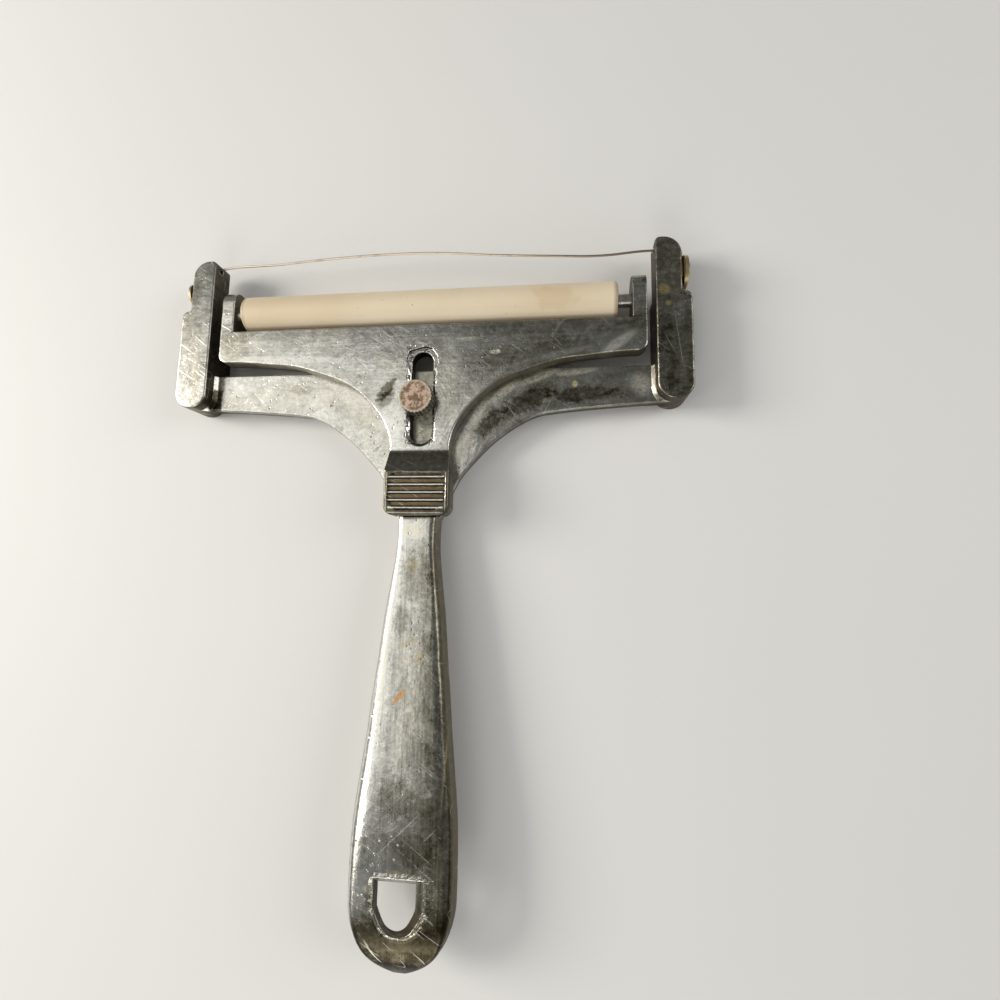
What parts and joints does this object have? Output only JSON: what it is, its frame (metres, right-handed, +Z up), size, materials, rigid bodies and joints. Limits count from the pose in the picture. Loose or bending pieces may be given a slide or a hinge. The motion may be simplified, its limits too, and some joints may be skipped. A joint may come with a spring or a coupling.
{
  "type": "wire cheese slicer",
  "caption": "Hand cheese slicer with a flat handle, a cutting wire between two arms, and a sliding roller gauge held by a knurled thumb screw.",
  "frame": {"origin": "centre of the base of the whole object's box, on the table that it lies on", "axes": "+X to the right arm, +Y from the handle to the cutting wire, +Z up from the table"},
  "size_m": [0.133, 0.171, 0.0136],
  "materials": {
    "plated_casting": "aged bright plating on a light alloy casting, scratched and pitted",
    "ivory_plastic": "semi-gloss, slightly yellowed",
    "axle_steel": "plain turned steel",
    "worn_screw": "plated steel, tarnished pinkish brown on top",
    "wire_steel": "bright drawn wire",
    "screw_brass": "dull brass"
  },
  "bodies": {
    "frame": {"frame": "plated_casting", "cutting_wire": "wire_steel", "wire_screw_right": "screw_brass", "wire_screw_left": "screw_brass"},
    "slider": {"slide_plate": "plated_casting", "roller_axle": "axle_steel"},
    "roller": {"roller": "ivory_plastic"},
    "thumb_screw": {"thumb_screw": "worn_screw"}
  },
  "joints": [
    {"name": "gauge_slide", "type": "slide", "parent": "frame", "child": "slider", "axis": [0, 1, 0], "range_m": [-0.0108, 0.005]},
    {"name": "roller_spin", "type": "hinge", "parent": "slider", "child": "roller", "pos_m": [0, 0.06963, 0.0067], "axis": [1, 0, 0], "continuous": true},
    {"name": "thumb_screw_turn", "type": "hinge", "parent": "frame", "child": "thumb_screw", "pos_m": [0, 0.04418, 0.0095], "axis": [0, 0, 1], "range_deg": [0, 720]}
  ]
}
